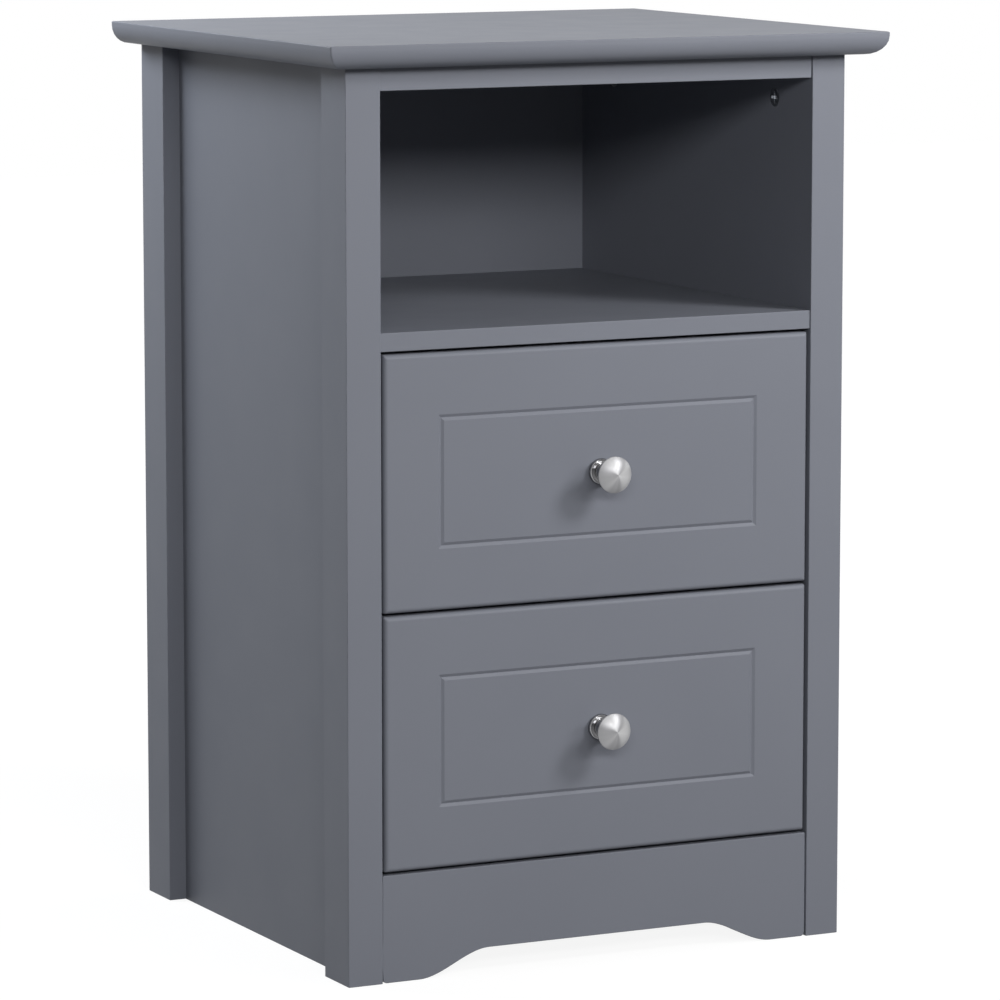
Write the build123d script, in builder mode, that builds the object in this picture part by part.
"""A small painted nightstand: an open compartment over two inset drawers.

Four posts carry a moulded top. The side boards stand between the posts, set back on the outside and
flush inside. A shelf, a floor, two rails and a thin back tie the sides together, and a scalloped apron
closes the front under the drawers. Each drawer is a board box that rolls on two steel roller slides:
a channel on the cabinet with a roller at its front end, and a runner under the box with a roller at
its back end.

Frame: millimetres, +Z up, the front faces -Y, origin at the middle of the footprint on the floor.
"""

import math
import os

from build123d import *

# Overall size
TOP_WIDTH = 400.0
HEIGHT = 600.0
BODY_WIDTH = 359.0
BODY_DEPTH = 327.0
FRONT_OVERHANG = 23.0
BACK_OVERHANG = 3.0
KNOB_REACH = 26.0

# Boards
TOP_THICK = 15.0
BOARD = 12.0
BACK_THICK = 3.0
POST_WIDTH = 24.0
POST_DEPTH = 36.5
ARRIS = 0.5

# Top moulding
TOP_ROUND = 12.5
TOP_CORNER = 1.0
TOP_ARRIS = 0.8

# Heights of the front
RAIL_HEIGHT = 15.0
SHELF_TOP = 418.0
APRON_TOP = 70.0
DRAWER_GAP = 2.0

# Depths of the rails, and how far each front edge stands back from the posts
RAIL_DEPTH = 60.0
RAIL_SETBACK = 1.2
SHELF_SETBACK = 1.2
APRON_SETBACK = 1.0
RAIL_END_GAP = 0.4
APRON_END_GAP = 0.9

# Scallop of the apron
SCALLOP_RISE = 16.3
SCALLOP_FOOT_X = 129.0
SCALLOP_CROWN_X = 79.0
APRON_FOOT_ROUND = 2.5

# Cam fittings
CAM_RADIUS = 6.0
CAM_DEPTH = 9.5
CAM_DROP = 30.5
CAM_INSET = 50.0
CAM_SLOT = 1.8
CAM_SLOT_LENGTH = 8.0
CAM_SLOT_DEPTH = 1.5
BOLT_RADIUS = 2.5
BOLT_BITE = 10.0
FIT_GAP = 0.1

# Dowels: 8 mm sit in a board's face and the rest in the other board's end
DOWEL_RADIUS = 3.0
DOWEL_LENGTH = 30.0
DOWEL_FACE_DEPTH = 8.0
DOWEL_SLACK = 0.05
DOWEL_END_GAP = 0.5

# Nails of the back panel
NAIL_RADIUS = 0.7
NAIL_LENGTH = 14.0
NAIL_HEAD_RADIUS = 2.2
NAIL_HEAD_THICK = 0.6

# Drawer fronts
FRONT_ROUND = 3.0
FRONT_CORNER = 1.0
GROOVE_MARGIN_X = 38.0
GROOVE_MARGIN_Z = 39.5
GROOVE_WIDTH = 4.0
GROOVE_DEPTH = 1.2

# Drawer boxes
SLIDE_SPACE = 12.5
BOX_LIFT = 18.0
BOX_HEIGHT = 115.0
BOX_LENGTH = 290.0
BOX_BOTTOM_LIFT = 10.0
BOX_BOTTOM_THICK = 3.0
BOX_GROOVE = 5.0
BOX_BOTTOM_SLACK = 0.2
BOX_SCREW_RADIUS = 1.75
BOX_SCREW_LENGTH = 32.0
BOX_SCREW_HEAD = 3.5

# Knob: distances from the drawer front along its axis, and radii
KNOB_FLANGE_BASE_RADIUS = 7.9
KNOB_FLANGE_RADIUS = 8.6
KNOB_FLANGE_WIDEST = 2.3
KNOB_FLANGE_END = 3.6
KNOB_STEP_RADIUS = 6.6
KNOB_STEP_END = 5.0
KNOB_NECK_START_RADIUS = 5.6
KNOB_WAIST = 9.5
KNOB_WAIST_RADIUS = 4.8
KNOB_UNDERSIDE = 15.8
KNOB_UNDERSIDE_RADIUS = 8.2
KNOB_SWELL = 18.3
KNOB_SWELL_RADIUS = 10.5
KNOB_RIM_START = 20.0
KNOB_RIM_START_RADIUS = 11.8
KNOB_RIM = 20.7
KNOB_HEAD_RADIUS = 11.9
KNOB_DOME_START = 21.3
KNOB_DOME_RADIUS = 11.5
KNOB_SCREW_RADIUS = 2.0
KNOB_SCREW_BITE = 12.0
KNOB_SCREW_HEAD_RADIUS = 4.0
KNOB_SCREW_HEAD_THICK = 2.4

# Roller slides
STEEL = 1.2
CHANNEL_LENGTH = 300.0
CHANNEL_START = 14.0
CHANNEL_INSIDE = 17.0
CHANNEL_LIFT = 0.5
CHANNEL_FLOOR_REACH = 10.5
CHANNEL_ROOF_REACH = 8.5
CHANNEL_ROOF_START = 22.0
ROOF_GAP = 0.6
ROOF_REACH = 10.5
ROLLER_RADIUS = 8.0
ROLLER_WIDTH = 5.0
ROLLER_GAP = 0.3
ROLLER_PLAY = 0.05
ROLLER_SIDE_PLAY = 0.2
ROLLER_EDGE = 0.5
ROLLER_INSET = 0.55
FRONT_ROLLER_Y = 11.0
REAR_ROLLER_Y = 12.0
PIN_RADIUS = 2.0
PIN_SHOULDER_RADIUS = 3.0
PIN_HEAD_RADIUS = 3.2
PIN_HEAD_THICK = 0.8
SLIDE_SCREW_RADIUS = 1.75
SLIDE_SCREW_BITE = 9.0
SLIDE_SCREW_HEAD_RADIUS = 3.2
SLIDE_SCREW_HEAD_THICK = 1.0

# Places that follow from the sizes
DEPTH = KNOB_REACH + BODY_DEPTH + BACK_OVERHANG
FACE_Y = KNOB_REACH - DEPTH / 2
BACK_Y = FACE_Y + BODY_DEPTH
TOP_FRONT_Y = FACE_Y - FRONT_OVERHANG
TOP_BACK_Y = BACK_Y + BACK_OVERHANG
OUTER_X = BODY_WIDTH / 2
INNER_X = OUTER_X - POST_WIDTH
PANEL_OUT_X = INNER_X + BOARD
PANEL_MID_X = INNER_X + BOARD / 2
PANEL_FRONT_Y = FACE_Y + POST_DEPTH
PANEL_BACK_Y = BACK_Y - POST_DEPTH
BACK_PANEL_Y = BACK_Y - BACK_THICK
UNDER_TOP = HEIGHT - TOP_THICK
RAIL_BOTTOM = UNDER_TOP - RAIL_HEIGHT
SHELF_BOTTOM = SHELF_TOP - BOARD
FLOOR_BOTTOM = APRON_TOP - BOARD
APRON_FRONT_Y = FACE_Y + APRON_SETBACK
APRON_BACK_Y = APRON_FRONT_Y + BOARD
RAIL_FRONT_Y = FACE_Y + RAIL_SETBACK
BACK_RAIL_Y = BACK_PANEL_Y - RAIL_DEPTH
CAM_Z = UNDER_TOP - CAM_DROP
CAM_YS = (FACE_Y + CAM_INSET, BACK_Y - CAM_INSET)
DRAWER_HEIGHT = (SHELF_BOTTOM - APRON_TOP - 3 * DRAWER_GAP) / 2
DRAWER_HALF_WIDTH = INNER_X - DRAWER_GAP
GROOVE_FLANK = math.degrees(math.atan2(GROOVE_WIDTH / 2, GROOVE_DEPTH))
FRONT_BACK_Y = FACE_Y + BOARD
BOX_BACK_Y = FRONT_BACK_Y + BOX_LENGTH
BOX_OUT_X = INNER_X - SLIDE_SPACE
BOX_IN_X = BOX_OUT_X - BOARD
CHANNEL_FRONT_Y = FACE_Y + CHANNEL_START
CHANNEL_BACK_Y = CHANNEL_FRONT_Y + CHANNEL_LENGTH
RUNNER_WEB_X = BOX_OUT_X + STEEL
CHANNEL_WEB_X = INNER_X - STEEL
ROLLER_MID_X = (RUNNER_WEB_X + CHANNEL_WEB_X) / 2 - ROLLER_INSET
ROLLER_IN_X = ROLLER_MID_X - ROLLER_WIDTH / 2 - ROLLER_SIDE_PLAY
ROLLER_OUT_X = ROLLER_MID_X + ROLLER_WIDTH / 2 + ROLLER_SIDE_PLAY
FRONT_ROLLER_AT_Y = CHANNEL_FRONT_Y + FRONT_ROLLER_Y
REAR_ROLLER_AT_Y = BOX_BACK_Y - REAR_ROLLER_Y

SIDES = (("left", -1), ("right", 1))
LOWER_FRONT_Z = APRON_TOP + DRAWER_GAP
UPPER_FRONT_Z = LOWER_FRONT_Z + DRAWER_HEIGHT + DRAWER_GAP
DRAWERS = (("upper", UPPER_FRONT_Z), ("lower", LOWER_FRONT_Z))

TURN = {"X": (0, 90, 0), "Y": (90, 0, 0), "Z": (0, 0, 0)}

os.makedirs("parts", exist_ok=True)


def save(piece, name):
    """Label a finished piece and write it as one file."""
    piece.part.label = name
    export_step(piece.part, f"parts/{name}.step")


def block(low, high, mode=Mode.ADD):
    """Add or cut the box between two opposite corners in the piece being made."""
    corner = tuple(min(a, b) for a, b in zip(low, high))
    size = tuple(abs(b - a) for a, b in zip(low, high))
    with Locations(corner):
        Box(*size, align=(Align.MIN, Align.MIN, Align.MIN), mode=mode)


def rod(start, end, axis, radius, mode=Mode.ADD):
    """Add or cut a cylinder along one axis; start and end differ only along that axis."""
    middle = tuple((a + b) / 2 for a, b in zip(start, end))
    length = sum(abs(b - a) for a, b in zip(start, end))
    with Locations(middle):
        Cylinder(radius, length, rotation=TURN[axis], mode=mode)


def along(axis, spot, low, high):
    """The two ends of a rod through a spot, between two values on its axis."""
    index = "XYZ".index(axis)
    start = list(spot)
    end = list(spot)
    start[index] = low
    end[index] = high
    return start, end


# Carcass dowels, each as (axis, middle point)
DOWEL_SHIFT = DOWEL_LENGTH / 2 - DOWEL_FACE_DEPTH
PANEL_DOWEL_ZS = (90.0, 300.0, 520.0)
TIE_DOWEL_YS = (-80.0, 110.0)
RAIL_DOWEL_Z = UNDER_TOP - RAIL_HEIGHT / 2
FRONT_RAIL_DOWEL_Y = FACE_Y + POST_DEPTH / 2
BACK_RAIL_DOWEL_Y = BACK_Y - POST_DEPTH / 2
APRON_DOWEL_X = 90.0
DOWELS = []
for _, side in SIDES:
    for dowel_y in (PANEL_FRONT_Y, PANEL_BACK_Y):
        for dowel_z in PANEL_DOWEL_ZS:
            DOWELS.append(("Y", (side * PANEL_MID_X, dowel_y, dowel_z)))
    tie_x = side * (INNER_X - DOWEL_SHIFT)
    for dowel_y in TIE_DOWEL_YS:
        DOWELS.append(("X", (tie_x, dowel_y, SHELF_TOP - BOARD / 2)))
        DOWELS.append(("X", (tie_x, dowel_y, APRON_TOP - BOARD / 2)))
    DOWELS.append(("X", (tie_x, FRONT_RAIL_DOWEL_Y, RAIL_DOWEL_Z)))
    DOWELS.append(("X", (tie_x, BACK_RAIL_DOWEL_Y, RAIL_DOWEL_Z)))
    DOWELS.append(("Y", (side * APRON_DOWEL_X, APRON_BACK_Y + DOWEL_SHIFT, APRON_TOP - BOARD / 2)))


def dowel_ends(axis, spot, extra=0.0):
    """The two ends of a dowel, or of its longer hole."""
    middle = spot["XYZ".index(axis)]
    half = DOWEL_LENGTH / 2 + extra
    return along(axis, spot, middle - half, middle + half)


def drill_dowels(dowels, low, high):
    """Cut the dowel holes that reach into the board between two corners."""
    for axis, spot in dowels:
        start, end = dowel_ends(axis, spot, DOWEL_END_GAP)
        inside = all(
            max(a, b) + DOWEL_RADIUS > min(p, q) and min(a, b) - DOWEL_RADIUS < max(p, q)
            for a, b, p, q in zip(start, end, low, high)
        )
        if inside:
            rod(start, end, axis, DOWEL_RADIUS, Mode.SUBTRACT)


# Top board, with a quarter round under the front and both ends
TOP_MID_Y = (TOP_FRONT_Y + TOP_BACK_Y) / 2
TOP_DEPTH = TOP_BACK_Y - TOP_FRONT_Y
TOP_MID_Z = UNDER_TOP + TOP_THICK / 2
with BuildPart() as top_panel:
    with BuildSketch(Plane.XY.offset(UNDER_TOP)) as plan:
        with Locations((0, TOP_MID_Y)):
            Rectangle(TOP_WIDTH, TOP_DEPTH)
        fillet(plan.vertices(), TOP_CORNER)
    extrude(amount=TOP_THICK)
    with BuildSketch(Plane.YZ) as end_view:
        with Locations((TOP_MID_Y, TOP_MID_Z)):
            Rectangle(TOP_DEPTH, TOP_THICK)
        fillet(end_view.vertices().group_by(Axis.Y)[0].sort_by(Axis.X)[0], TOP_ROUND)
    extrude(amount=TOP_WIDTH / 2, both=True, mode=Mode.INTERSECT)
    with BuildSketch(Plane.XZ) as front_view:
        with Locations((0, TOP_MID_Z)):
            Rectangle(TOP_WIDTH, TOP_THICK)
        fillet(front_view.vertices().group_by(Axis.Y)[0], TOP_ROUND)
    extrude(amount=TOP_DEPTH, both=True, mode=Mode.INTERSECT)
    fillet(top_panel.faces().sort_by(Axis.Z)[-1].outer_wire().edges(), TOP_ARRIS)
    for _, side in SIDES:
        for cam_y in CAM_YS:
            hole = along("Z", (side * PANEL_MID_X, cam_y, 0), UNDER_TOP, UNDER_TOP + BOLT_BITE + FIT_GAP)
            rod(*hole, "Z", BOLT_RADIUS + FIT_GAP, Mode.SUBTRACT)
save(top_panel, "top_panel")

# Side boards, with pockets for the cams and holes for their bolts
for side_name, side in SIDES:
    low = (side * INNER_X, PANEL_FRONT_Y, 0)
    high = (side * PANEL_OUT_X, PANEL_BACK_Y, UNDER_TOP)
    with BuildPart() as side_panel:
        block(low, high)
        drill_dowels(DOWELS, low, high)
        for cam_y in CAM_YS:
            pocket = along("X", (0, cam_y, CAM_Z), side * INNER_X, side * (INNER_X + CAM_DEPTH))
            rod(*pocket, "X", CAM_RADIUS + FIT_GAP, Mode.SUBTRACT)
            bolt_hole = along("Z", (side * PANEL_MID_X, cam_y, 0), CAM_Z, UNDER_TOP)
            rod(*bolt_hole, "Z", BOLT_RADIUS + FIT_GAP, Mode.SUBTRACT)
    save(side_panel, f"{side_name}_side_panel")

# Posts; the long edges are eased, but for the one that is flush with the side board inside
POST_ROWS = (("front", FACE_Y, PANEL_FRONT_Y), ("back", BACK_Y, PANEL_BACK_Y))
for row_name, outer_y, joint_y in POST_ROWS:
    for side_name, side in SIDES:
        low = (side * INNER_X, outer_y, 0)
        high = (side * OUTER_X, joint_y, UNDER_TOP)
        flush_edge = Vector(side * INNER_X, joint_y, UNDER_TOP / 2)
        with BuildPart() as post:
            block(low, high)
            fillet(post.edges().filter_by(Axis.Z).sort_by_distance(flush_edge)[1:], ARRIS)
            drill_dowels(DOWELS, low, high)
        save(post, f"{row_name}_{side_name}_post")

# Rails under the top
RAIL_HALF = INNER_X - RAIL_END_GAP
with BuildPart() as top_front_rail:
    low = (-RAIL_HALF, RAIL_FRONT_Y, RAIL_BOTTOM)
    high = (RAIL_HALF, RAIL_FRONT_Y + RAIL_DEPTH, UNDER_TOP)
    block(low, high)
    fillet(top_front_rail.edges().filter_by(Axis.X).group_by(Axis.Y)[0].sort_by(Axis.Z)[0], ARRIS)
    drill_dowels(DOWELS, low, high)
save(top_front_rail, "top_front_rail")

with BuildPart() as top_back_rail:
    low = (-INNER_X, BACK_RAIL_Y, RAIL_BOTTOM)
    high = (INNER_X, BACK_PANEL_Y, UNDER_TOP)
    block(low, high)
    drill_dowels(DOWELS, low, high)
save(top_back_rail, "top_back_rail")

# Shelf of the open compartment and floor under the drawers
with BuildPart() as shelf_panel:
    low = (-INNER_X, FACE_Y + SHELF_SETBACK, SHELF_BOTTOM)
    high = (INNER_X, BACK_PANEL_Y, SHELF_TOP)
    block(low, high)
    fillet(shelf_panel.edges().filter_by(Axis.X).group_by(Axis.Y)[0], ARRIS)
    drill_dowels(DOWELS, low, high)
save(shelf_panel, "shelf_panel")

with BuildPart() as bottom_panel:
    low = (-INNER_X, APRON_BACK_Y, FLOOR_BOTTOM)
    high = (INNER_X, BACK_PANEL_Y, APRON_TOP)
    block(low, high)
    drill_dowels(DOWELS, low, high)
save(bottom_panel, "bottom_panel")

# Thin back, nailed to the shelf, the floor and the back rail
with BuildPart() as back_panel:
    block((-INNER_X, BACK_PANEL_Y, FLOOR_BOTTOM), (INNER_X, BACK_Y, UNDER_TOP))
save(back_panel, "back_panel")

NAIL_XS = (-120.0, -40.0, 40.0, 120.0)
NAIL_ZS = (APRON_TOP - BOARD / 2, SHELF_TOP - BOARD / 2, RAIL_DOWEL_Z)
with BuildPart() as back_panel_nails:
    for nail_x in NAIL_XS:
        for nail_z in NAIL_ZS:
            spot = (nail_x, 0, nail_z)
            rod(*along("Y", spot, BACK_Y - NAIL_LENGTH, BACK_Y), "Y", NAIL_RADIUS)
            rod(*along("Y", spot, BACK_Y, BACK_Y + NAIL_HEAD_THICK), "Y", NAIL_HEAD_RADIUS)
save(back_panel_nails, "back_panel_nails")

# Apron: flat feet, and an ogee on each side up to a long straight crown
APRON_HALF = INNER_X - APRON_END_GAP
OGEE_MID = ((SCALLOP_FOOT_X + SCALLOP_CROWN_X) / 2, SCALLOP_RISE / 2)
INWARD = (-1, 0)
with BuildPart() as front_apron:
    with BuildSketch(Plane.XZ.offset(-APRON_BACK_Y)) as apron_face:
        with BuildLine() as half_outline:
            Line((0, APRON_TOP), (APRON_HALF, APRON_TOP))
            Line((APRON_HALF, APRON_TOP), (APRON_HALF, 0))
            Line((APRON_HALF, 0), (SCALLOP_FOOT_X, 0))
            ogee_ends = ((SCALLOP_FOOT_X, 0), (SCALLOP_CROWN_X, SCALLOP_RISE))
            Spline(ogee_ends[0], OGEE_MID, ogee_ends[1], tangents=(INWARD, INWARD))
            Line((SCALLOP_CROWN_X, SCALLOP_RISE), (0, SCALLOP_RISE))
            mirror(about=Plane.YZ)
        make_face()
        feet = apron_face.vertices().group_by(Axis.X)
        fillet([feet[0].sort_by(Axis.Y)[0], feet[-1].sort_by(Axis.Y)[0]], APRON_FOOT_ROUND)
    extrude(amount=BOARD)
    fillet(front_apron.faces().sort_by(Axis.Y)[0].outer_wire().edges().sort_by(Axis.Z)[-1], ARRIS)
    low = (-APRON_HALF, APRON_FRONT_Y, 0)
    high = (APRON_HALF, APRON_BACK_Y, APRON_TOP)
    drill_dowels(DOWELS, low, high)
save(front_apron, "front_apron")

# Cam fittings: a slotted cam in each pocket and a bolt from it into the top
with BuildPart() as cam_locks:
    for _, side in SIDES:
        for cam_y in CAM_YS:
            face_x = side * INNER_X
            spot = (face_x, cam_y, CAM_Z)
            rod(*along("X", spot, face_x, side * (INNER_X + CAM_DEPTH)), "X", CAM_RADIUS)
            slot_x = side * (INNER_X + CAM_SLOT_DEPTH)
            for half_y, half_z in ((CAM_SLOT_LENGTH, CAM_SLOT), (CAM_SLOT, CAM_SLOT_LENGTH)):
                slot_low = (face_x, cam_y - half_y / 2, CAM_Z - half_z / 2)
                slot_high = (slot_x, cam_y + half_y / 2, CAM_Z + half_z / 2)
                block(slot_low, slot_high, Mode.SUBTRACT)
            bolt_seat = along("Z", (side * PANEL_MID_X, cam_y, 0), CAM_Z, CAM_Z + CAM_RADIUS)
            rod(*bolt_seat, "Z", BOLT_RADIUS + FIT_GAP, Mode.SUBTRACT)
save(cam_locks, "cam_locks")

with BuildPart() as cam_bolts:
    for _, side in SIDES:
        for cam_y in CAM_YS:
            bolt = along("Z", (side * PANEL_MID_X, cam_y, 0), CAM_Z, UNDER_TOP + BOLT_BITE)
            rod(*bolt, "Z", BOLT_RADIUS)
save(cam_bolts, "cam_bolts")

with BuildPart() as dowels:
    for axis, spot in DOWELS:
        rod(*dowel_ends(axis, spot), axis, DOWEL_RADIUS - DOWEL_SLACK)
save(dowels, "dowels")


# Roller slides, seen from the channel's floor upwards
def channel_floor(front_z):
    """Height of the track inside the channel for the drawer whose front starts at front_z."""
    return front_z + BOX_LIFT + CHANNEL_LIFT


def runner_roof(front_z):
    """Height of the underside of the runner's roof, which rides on the front roller."""
    return channel_floor(front_z) + CHANNEL_INSIDE + STEEL + ROOF_GAP


def front_roller_z(front_z):
    """Height of the front roller's axis, just under the runner's roof."""
    return runner_roof(front_z) - ROLLER_GAP - ROLLER_RADIUS


def rear_roller_z(front_z):
    """Height of the rear roller's axis, just over the channel's floor."""
    return channel_floor(front_z) + ROLLER_GAP + ROLLER_RADIUS


SLIDE_SCREW_YS = (-90.0, 20.0, 130.0)
RUNNER_SCREW_YS = (-110.0, 0.0, 110.0)
for drawer_name, front_z in DRAWERS:
    track_z = channel_floor(front_z)
    for side_name, side in SIDES:
        with BuildPart() as channel:
            web_low = (side * CHANNEL_WEB_X, CHANNEL_FRONT_Y, track_z - STEEL)
            web_high = (side * INNER_X, CHANNEL_BACK_Y, track_z + CHANNEL_INSIDE + STEEL)
            block(web_low, web_high)
            floor_low = (side * (INNER_X - CHANNEL_FLOOR_REACH), CHANNEL_FRONT_Y, track_z - STEEL)
            block(floor_low, (side * INNER_X, CHANNEL_BACK_Y, track_z))
            roof_z = track_z + CHANNEL_INSIDE
            roof_y = CHANNEL_FRONT_Y + CHANNEL_ROOF_START
            roof_low = (side * (INNER_X - CHANNEL_ROOF_REACH), roof_y, roof_z)
            block(roof_low, (side * INNER_X, CHANNEL_BACK_Y, roof_z + STEEL))
            pin_spot = (0, FRONT_ROLLER_AT_Y, front_roller_z(front_z))
            pin_hole = along("X", pin_spot, side * CHANNEL_WEB_X, side * INNER_X)
            rod(*pin_hole, "X", PIN_RADIUS + ROLLER_PLAY, Mode.SUBTRACT)
            for screw_y in SLIDE_SCREW_YS:
                screw_spot = (0, screw_y, track_z + CHANNEL_INSIDE / 2)
                screw_hole = along("X", screw_spot, side * CHANNEL_WEB_X, side * INNER_X)
                rod(*screw_hole, "X", SLIDE_SCREW_RADIUS + FIT_GAP, Mode.SUBTRACT)
        save(channel, f"{drawer_name}_{side_name}_slide_channel")

        with BuildPart() as runner:
            box_z = front_z + BOX_LIFT
            ceiling_z = runner_roof(front_z)
            rear_y = BOX_BACK_Y
            block(
                (side * BOX_OUT_X, FRONT_BACK_Y + STEEL, box_z - STEEL),
                (side * RUNNER_WEB_X, rear_y, ceiling_z + STEEL),
            )
            block(
                (side * (BOX_OUT_X - ROOF_REACH), FRONT_BACK_Y + STEEL, box_z - STEEL),
                (side * RUNNER_WEB_X, rear_y, box_z),
            )
            block(
                (side * BOX_OUT_X, FRONT_BACK_Y + STEEL, ceiling_z),
                (side * (BOX_OUT_X + ROOF_REACH), rear_y, ceiling_z + STEEL),
            )
            pin_spot = (0, REAR_ROLLER_AT_Y, rear_roller_z(front_z))
            pin_hole = along("X", pin_spot, side * BOX_OUT_X, side * RUNNER_WEB_X)
            rod(*pin_hole, "X", PIN_RADIUS + ROLLER_PLAY, Mode.SUBTRACT)
            for screw_y in RUNNER_SCREW_YS:
                screw_spot = (side * (BOX_OUT_X - BOARD / 2), screw_y, 0)
                screw_hole = along("Z", screw_spot, box_z - STEEL, box_z)
                rod(*screw_hole, "Z", SLIDE_SCREW_RADIUS + FIT_GAP, Mode.SUBTRACT)
        save(runner, f"{drawer_name}_{side_name}_runner")

        roller_places = (
            ("front", FRONT_ROLLER_AT_Y, front_roller_z(front_z)),
            ("rear", REAR_ROLLER_AT_Y, rear_roller_z(front_z)),
        )
        for end_name, roller_y, roller_z in roller_places:
            spot = (0, roller_y, roller_z)
            half = ROLLER_WIDTH / 2
            with BuildPart() as roller:
                width = along("X", spot, side * ROLLER_MID_X - half, side * ROLLER_MID_X + half)
                rod(*width, "X", ROLLER_RADIUS)
                fillet(roller.edges(), ROLLER_EDGE)
                rod(*width, "X", PIN_RADIUS + ROLLER_PLAY, Mode.SUBTRACT)
            save(roller, f"{drawer_name}_{side_name}_{end_name}_roller")

with BuildPart() as front_roller_pins:
    for _, front_z in DRAWERS:
        for _, side in SIDES:
            spot = (0, FRONT_ROLLER_AT_Y, front_roller_z(front_z))
            rod(*along("X", spot, side * ROLLER_IN_X, side * INNER_X), "X", PIN_RADIUS)
            rod(*along("X", spot, side * ROLLER_OUT_X, side * CHANNEL_WEB_X), "X", PIN_SHOULDER_RADIUS)
            head_x = side * (ROLLER_IN_X - PIN_HEAD_THICK)
            rod(*along("X", spot, head_x, side * ROLLER_IN_X), "X", PIN_HEAD_RADIUS)
save(front_roller_pins, "front_roller_pins")

with BuildPart() as slide_channel_screws:
    for _, front_z in DRAWERS:
        for _, side in SIDES:
            for screw_y in SLIDE_SCREW_YS:
                spot = (0, screw_y, channel_floor(front_z) + CHANNEL_INSIDE / 2)
                tip_x = side * (INNER_X + SLIDE_SCREW_BITE)
                rod(*along("X", spot, side * CHANNEL_WEB_X, tip_x), "X", SLIDE_SCREW_RADIUS)
                head_x = side * (CHANNEL_WEB_X - SLIDE_SCREW_HEAD_THICK)
                rod(*along("X", spot, head_x, side * CHANNEL_WEB_X), "X", SLIDE_SCREW_HEAD_RADIUS)
save(slide_channel_screws, "slide_channel_screws")

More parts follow.
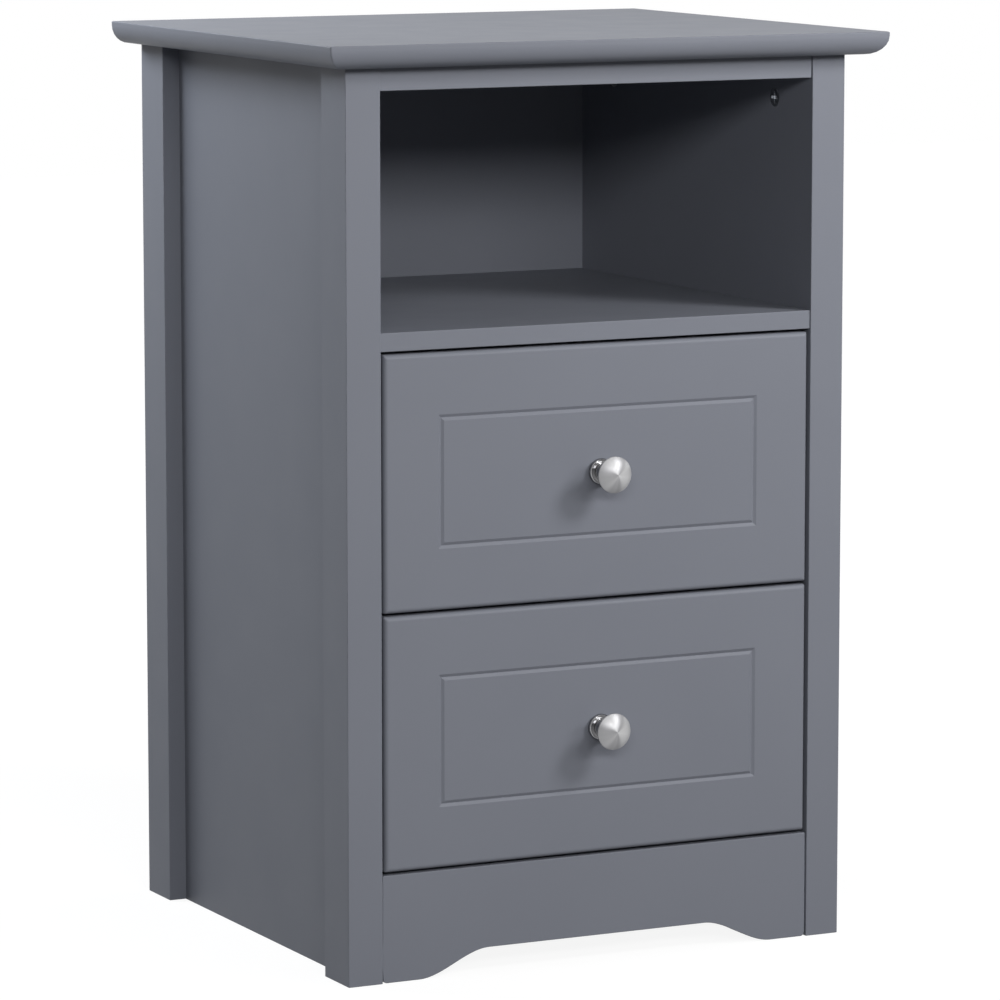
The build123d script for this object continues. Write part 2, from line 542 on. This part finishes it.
# Drawers
BOX_SCREW_LIFTS = (30.0, 85.0)
BOX_DOWEL_LIFTS = (35.0, 90.0)
BOX_SIDE_MID_X = BOX_OUT_X - BOARD / 2
BOX_BACK_MID_Y = BOX_BACK_Y - BOARD / 2
for drawer_name, front_z in DRAWERS:
    middle_z = front_z + DRAWER_HEIGHT / 2
    box_z = front_z + BOX_LIFT
    box_top = box_z + BOX_HEIGHT
    slab_low = box_z + BOX_BOTTOM_LIFT
    slab_high = slab_low + BOX_BOTTOM_THICK
    box_dowels = [
        ("Y", (side * BOX_SIDE_MID_X, FRONT_BACK_Y + DOWEL_SHIFT, box_z + lift))
        for _, side in SIDES
        for lift in BOX_DOWEL_LIFTS
    ]
    box_screws = [
        (side, (0, BOX_BACK_MID_Y, box_z + lift))
        for _, side in SIDES
        for lift in BOX_SCREW_LIFTS
    ]

    # Front: rounded edges, and a V-groove rectangle with mitred corners
    groove_out = (2 * (DRAWER_HALF_WIDTH - GROOVE_MARGIN_X), DRAWER_HEIGHT - 2 * GROOVE_MARGIN_Z)
    groove_in = tuple(size - 2 * GROOVE_WIDTH for size in groove_out)
    face_plane = Plane(origin=(0, FACE_Y, middle_z), x_dir=(1, 0, 0), z_dir=(0, -1, 0))
    with BuildPart() as drawer_front:
        low = (-DRAWER_HALF_WIDTH, FACE_Y, front_z)
        high = (DRAWER_HALF_WIDTH, FRONT_BACK_Y, front_z + DRAWER_HEIGHT)
        block(low, high)
        fillet(drawer_front.edges().filter_by(Axis.Y), FRONT_CORNER)
        fillet(drawer_front.faces().sort_by(Axis.Y)[0].outer_wire().edges(), FRONT_ROUND)
        with BuildSketch(face_plane):
            Rectangle(*groove_out)
        extrude(amount=-GROOVE_DEPTH, taper=GROOVE_FLANK, mode=Mode.SUBTRACT)
        with BuildSketch(face_plane):
            Rectangle(*groove_in)
        extrude(amount=-GROOVE_DEPTH, taper=-GROOVE_FLANK)
        block(
            (-BOX_IN_X - BOX_GROOVE, FRONT_BACK_Y - BOX_GROOVE, slab_low),
            (BOX_IN_X + BOX_GROOVE, FRONT_BACK_Y, slab_high),
            Mode.SUBTRACT,
        )
        screw_hole = along("Y", (0, 0, middle_z), FACE_Y, FRONT_BACK_Y)
        rod(*screw_hole, "Y", KNOB_SCREW_RADIUS + FIT_GAP, Mode.SUBTRACT)
        drill_dowels(box_dowels, low, high)
    save(drawer_front, f"{drawer_name}_drawer_front")

    # Box: two sides and a back, grooved for a thin bottom
    for side_name, side in SIDES:
        low = (side * BOX_IN_X, FRONT_BACK_Y, box_z)
        high = (side * BOX_OUT_X, BOX_BACK_Y, box_top)
        with BuildPart() as box_side:
            block(low, high)
            block(
                (side * BOX_IN_X, FRONT_BACK_Y, slab_low),
                (side * (BOX_IN_X + BOX_GROOVE), BOX_BACK_Y, slab_high),
                Mode.SUBTRACT,
            )
            drill_dowels(box_dowels, low, high)
        save(box_side, f"{drawer_name}_drawer_{side_name}_side")

    with BuildPart() as box_back:
        inner_y = BOX_BACK_Y - BOARD
        block((-BOX_IN_X, inner_y, box_z), (BOX_IN_X, BOX_BACK_Y, box_top))
        block(
            (-BOX_IN_X, inner_y, slab_low),
            (BOX_IN_X, inner_y + BOX_GROOVE, slab_high),
            Mode.SUBTRACT,
        )
    save(box_back, f"{drawer_name}_drawer_back")

    with BuildPart() as box_bottom:
        slab_x = BOX_IN_X + BOX_GROOVE - BOX_BOTTOM_SLACK
        slab_front = FRONT_BACK_Y - BOX_GROOVE + BOX_BOTTOM_SLACK
        slab_back = BOX_BACK_Y - BOARD + BOX_GROOVE - BOX_BOTTOM_SLACK
        block((-slab_x, slab_front, slab_low), (slab_x, slab_back, slab_high))
    save(box_bottom, f"{drawer_name}_drawer_bottom")

    with BuildPart() as drawer_dowels:
        for axis, spot in box_dowels:
            rod(*dowel_ends(axis, spot), axis, DOWEL_RADIUS - DOWEL_SLACK)
    save(drawer_dowels, f"{drawer_name}_drawer_dowels")

    with BuildPart() as drawer_box_screws:
        for side, spot in box_screws:
            tip_x = side * (BOX_OUT_X - BOX_SCREW_LENGTH)
            rod(*along("X", spot, tip_x, side * BOX_OUT_X), "X", BOX_SCREW_RADIUS)
            head_x = side * (BOX_OUT_X + SLIDE_SCREW_HEAD_THICK)
            rod(*along("X", spot, side * BOX_OUT_X, head_x), "X", BOX_SCREW_HEAD)
    save(drawer_box_screws, f"{drawer_name}_drawer_box_screws")

    with BuildPart() as runner_screws:
        for _, side in SIDES:
            for screw_y in RUNNER_SCREW_YS:
                spot = (side * BOX_SIDE_MID_X, screw_y, 0)
                under_z = box_z - STEEL
                rod(*along("Z", spot, under_z, box_z + SLIDE_SCREW_BITE), "Z", SLIDE_SCREW_RADIUS)
                head_z = under_z - SLIDE_SCREW_HEAD_THICK
                rod(*along("Z", spot, head_z, under_z), "Z", SLIDE_SCREW_HEAD_RADIUS)
    save(runner_screws, f"{drawer_name}_runner_screws")

    with BuildPart() as rear_roller_pins:
        for _, side in SIDES:
            spot = (0, REAR_ROLLER_AT_Y, rear_roller_z(front_z))
            rod(*along("X", spot, side * BOX_OUT_X, side * ROLLER_OUT_X), "X", PIN_RADIUS)
            rod(*along("X", spot, side * RUNNER_WEB_X, side * ROLLER_IN_X), "X", PIN_SHOULDER_RADIUS)
            head_x = side * (ROLLER_OUT_X + PIN_HEAD_THICK)
            rod(*along("X", spot, side * ROLLER_OUT_X, head_x), "X", PIN_HEAD_RADIUS)
    save(rear_roller_pins, f"{drawer_name}_rear_roller_pins")

    # Knob: a stepped flange, a waisted neck and a domed head, turned about its screw
    knob_axis = Axis((0, FACE_Y, middle_z), (0, -1, 0))
    knob_plane = Plane(origin=(0, FACE_Y, middle_z), x_dir=(0, -1, 0), z_dir=(1, 0, 0))
    flange_base = (0, KNOB_FLANGE_BASE_RADIUS)
    flange_widest = (KNOB_FLANGE_WIDEST, KNOB_FLANGE_RADIUS)
    flange_end = (KNOB_FLANGE_END, KNOB_FLANGE_BASE_RADIUS)
    neck_start = (KNOB_STEP_END, KNOB_NECK_START_RADIUS)
    underside = (KNOB_UNDERSIDE, KNOB_UNDERSIDE_RADIUS)
    rim_start = (KNOB_RIM_START, KNOB_RIM_START_RADIUS)
    dome_start = (KNOB_DOME_START, KNOB_DOME_RADIUS)
    dome_rise = KNOB_REACH - KNOB_DOME_START
    dome_curve = (KNOB_DOME_RADIUS**2 + dome_rise**2) / (2 * dome_rise)
    with BuildPart() as knob:
        with BuildSketch(knob_plane):
            with BuildLine():
                Line((0, 0), flange_base)
                ThreePointArc(flange_base, flange_widest, flange_end)
                Polyline(
                    flange_end,
                    (KNOB_FLANGE_END, KNOB_STEP_RADIUS),
                    (KNOB_STEP_END, KNOB_STEP_RADIUS),
                    neck_start,
                )
                ThreePointArc(neck_start, (KNOB_WAIST, KNOB_WAIST_RADIUS), underside)
                ThreePointArc(underside, (KNOB_SWELL, KNOB_SWELL_RADIUS), rim_start)
                ThreePointArc(rim_start, (KNOB_RIM, KNOB_HEAD_RADIUS), dome_start)
                RadiusArc(dome_start, (KNOB_REACH, 0), dome_curve)
                Line((KNOB_REACH, 0), (0, 0))
            make_face()
        revolve(axis=knob_axis)
        thread = along("Y", (0, 0, middle_z), FACE_Y - KNOB_SCREW_BITE - FIT_GAP, FACE_Y)
        rod(*thread, "Y", KNOB_SCREW_RADIUS + FIT_GAP, Mode.SUBTRACT)
    save(knob, f"{drawer_name}_knob")

    with BuildPart() as knob_screw:
        spot = (0, 0, middle_z)
        rod(*along("Y", spot, FACE_Y - KNOB_SCREW_BITE, FRONT_BACK_Y), "Y", KNOB_SCREW_RADIUS)
        head_y = FRONT_BACK_Y + KNOB_SCREW_HEAD_THICK
        rod(*along("Y", spot, FRONT_BACK_Y, head_y), "Y", KNOB_SCREW_HEAD_RADIUS)
    save(knob_screw, f"{drawer_name}_knob_screw")
